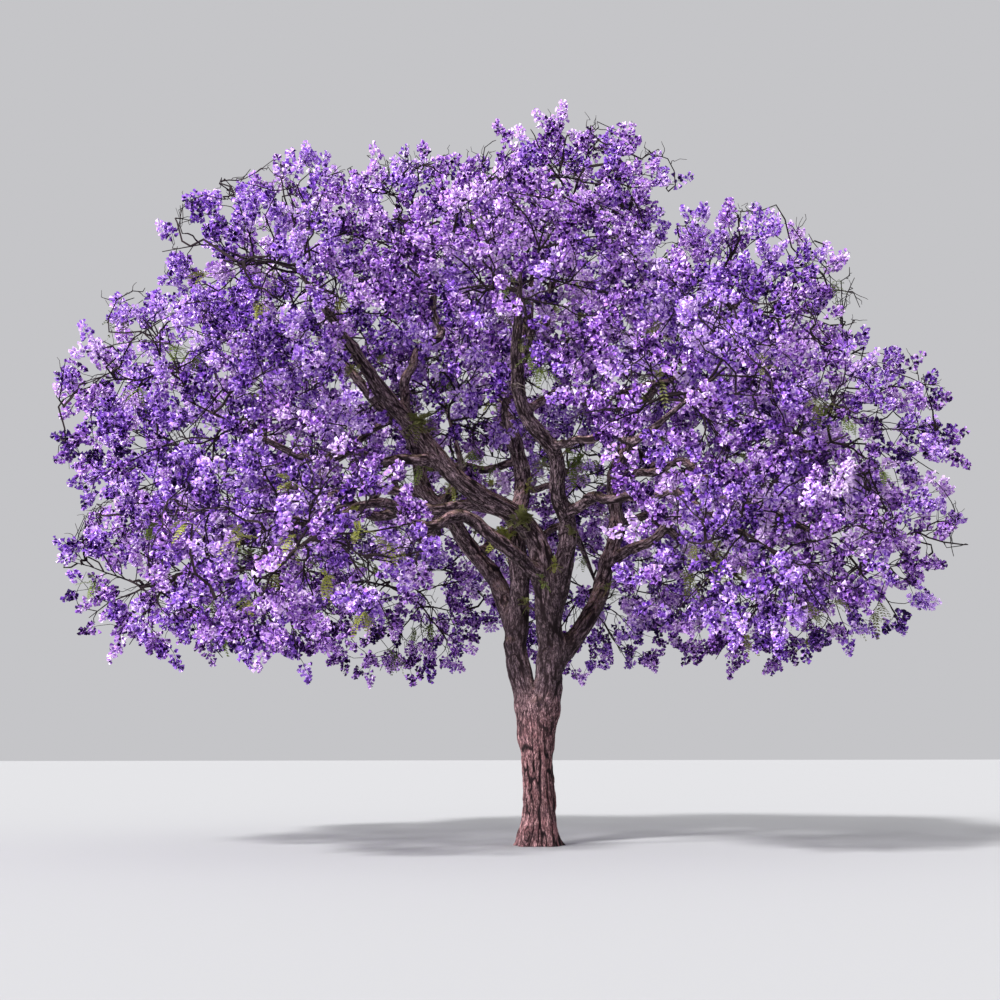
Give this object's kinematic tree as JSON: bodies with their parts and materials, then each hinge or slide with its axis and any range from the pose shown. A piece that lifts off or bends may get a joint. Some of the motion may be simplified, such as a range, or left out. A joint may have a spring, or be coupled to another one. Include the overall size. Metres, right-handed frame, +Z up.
{
  "type": "jacaranda tree",
  "caption": "Mature street jacaranda in full violet bloom: leaning furrowed trunk, low fork, long sinuous boughs and a broad arching crown of blossom masses, cut flat at ground level.",
  "frame": {"origin": "middle of the flat cut under the trunk, at ground level", "axes": "+Z up the tree; the picture's camera looks along +Y; the great bough reaches towards -X"},
  "size_m": [14.9702, 14.1694, 12.4821],
  "materials": {
    "bark": "furrowed grey-brown bark",
    "blossom": "soft violet petals",
    "leaf": "soft green leaves"
  },
  "bodies": {
    "root": {"back_bough": "bark", "blossom_inner_1": "blossom", "blossom_middle_1": "blossom", "blossom_middle_2": "blossom", "blossom_middle_3": "blossom", "blossom_middle_4": "blossom", "blossom_middle_5": "blossom", "blossom_middle_7": "blossom", "blossom_middle_8": "blossom", "blossom_skirt_1": "blossom", "blossom_skirt_2": "blossom", "blossom_skirt_3": "blossom", "blossom_skirt_4": "blossom", "blossom_skirt_5": "blossom", "blossom_skirt_6": "blossom", "blossom_skirt_8": "blossom", "blossom_skirt_9": "blossom", "blossom_top_1": "blossom", "blossom_top_2": "blossom", "blossom_top_3": "blossom", "blossom_upper_1": "blossom", "blossom_upper_2": "blossom", "blossom_upper_3": "blossom", "blossom_upper_4": "blossom", "blossom_upper_5": "blossom", "blossom_upper_6": "blossom", "front_bough": "bark", "great_bough": "bark", "leader": "bark", "leaf_tuft_1": "leaf", "leaf_tuft_2": "leaf", "leaf_tuft_3": "leaf", "leaf_tuft_4": "leaf", "leaf_tuft_5": "leaf", "limb_inner_1": "bark", "limb_middle_1": "bark", "limb_middle_2": "bark", "limb_middle_3": "bark", "limb_middle_4": "bark", "limb_middle_5": "bark", "limb_middle_7": "bark", "limb_middle_8": "bark", "limb_skirt_1": "bark", "limb_skirt_2": "bark", "limb_skirt_3": "bark", "limb_skirt_4": "bark", "limb_skirt_5": "bark", "limb_skirt_6": "bark", "limb_skirt_8": "bark", "limb_skirt_9": "bark", "limb_top_2": "bark", "limb_top_3": "bark", "limb_upper_2": "bark", "limb_upper_6": "bark", "right_bough": "bark", "trunk": "bark"}
  },
  "joints": []
}
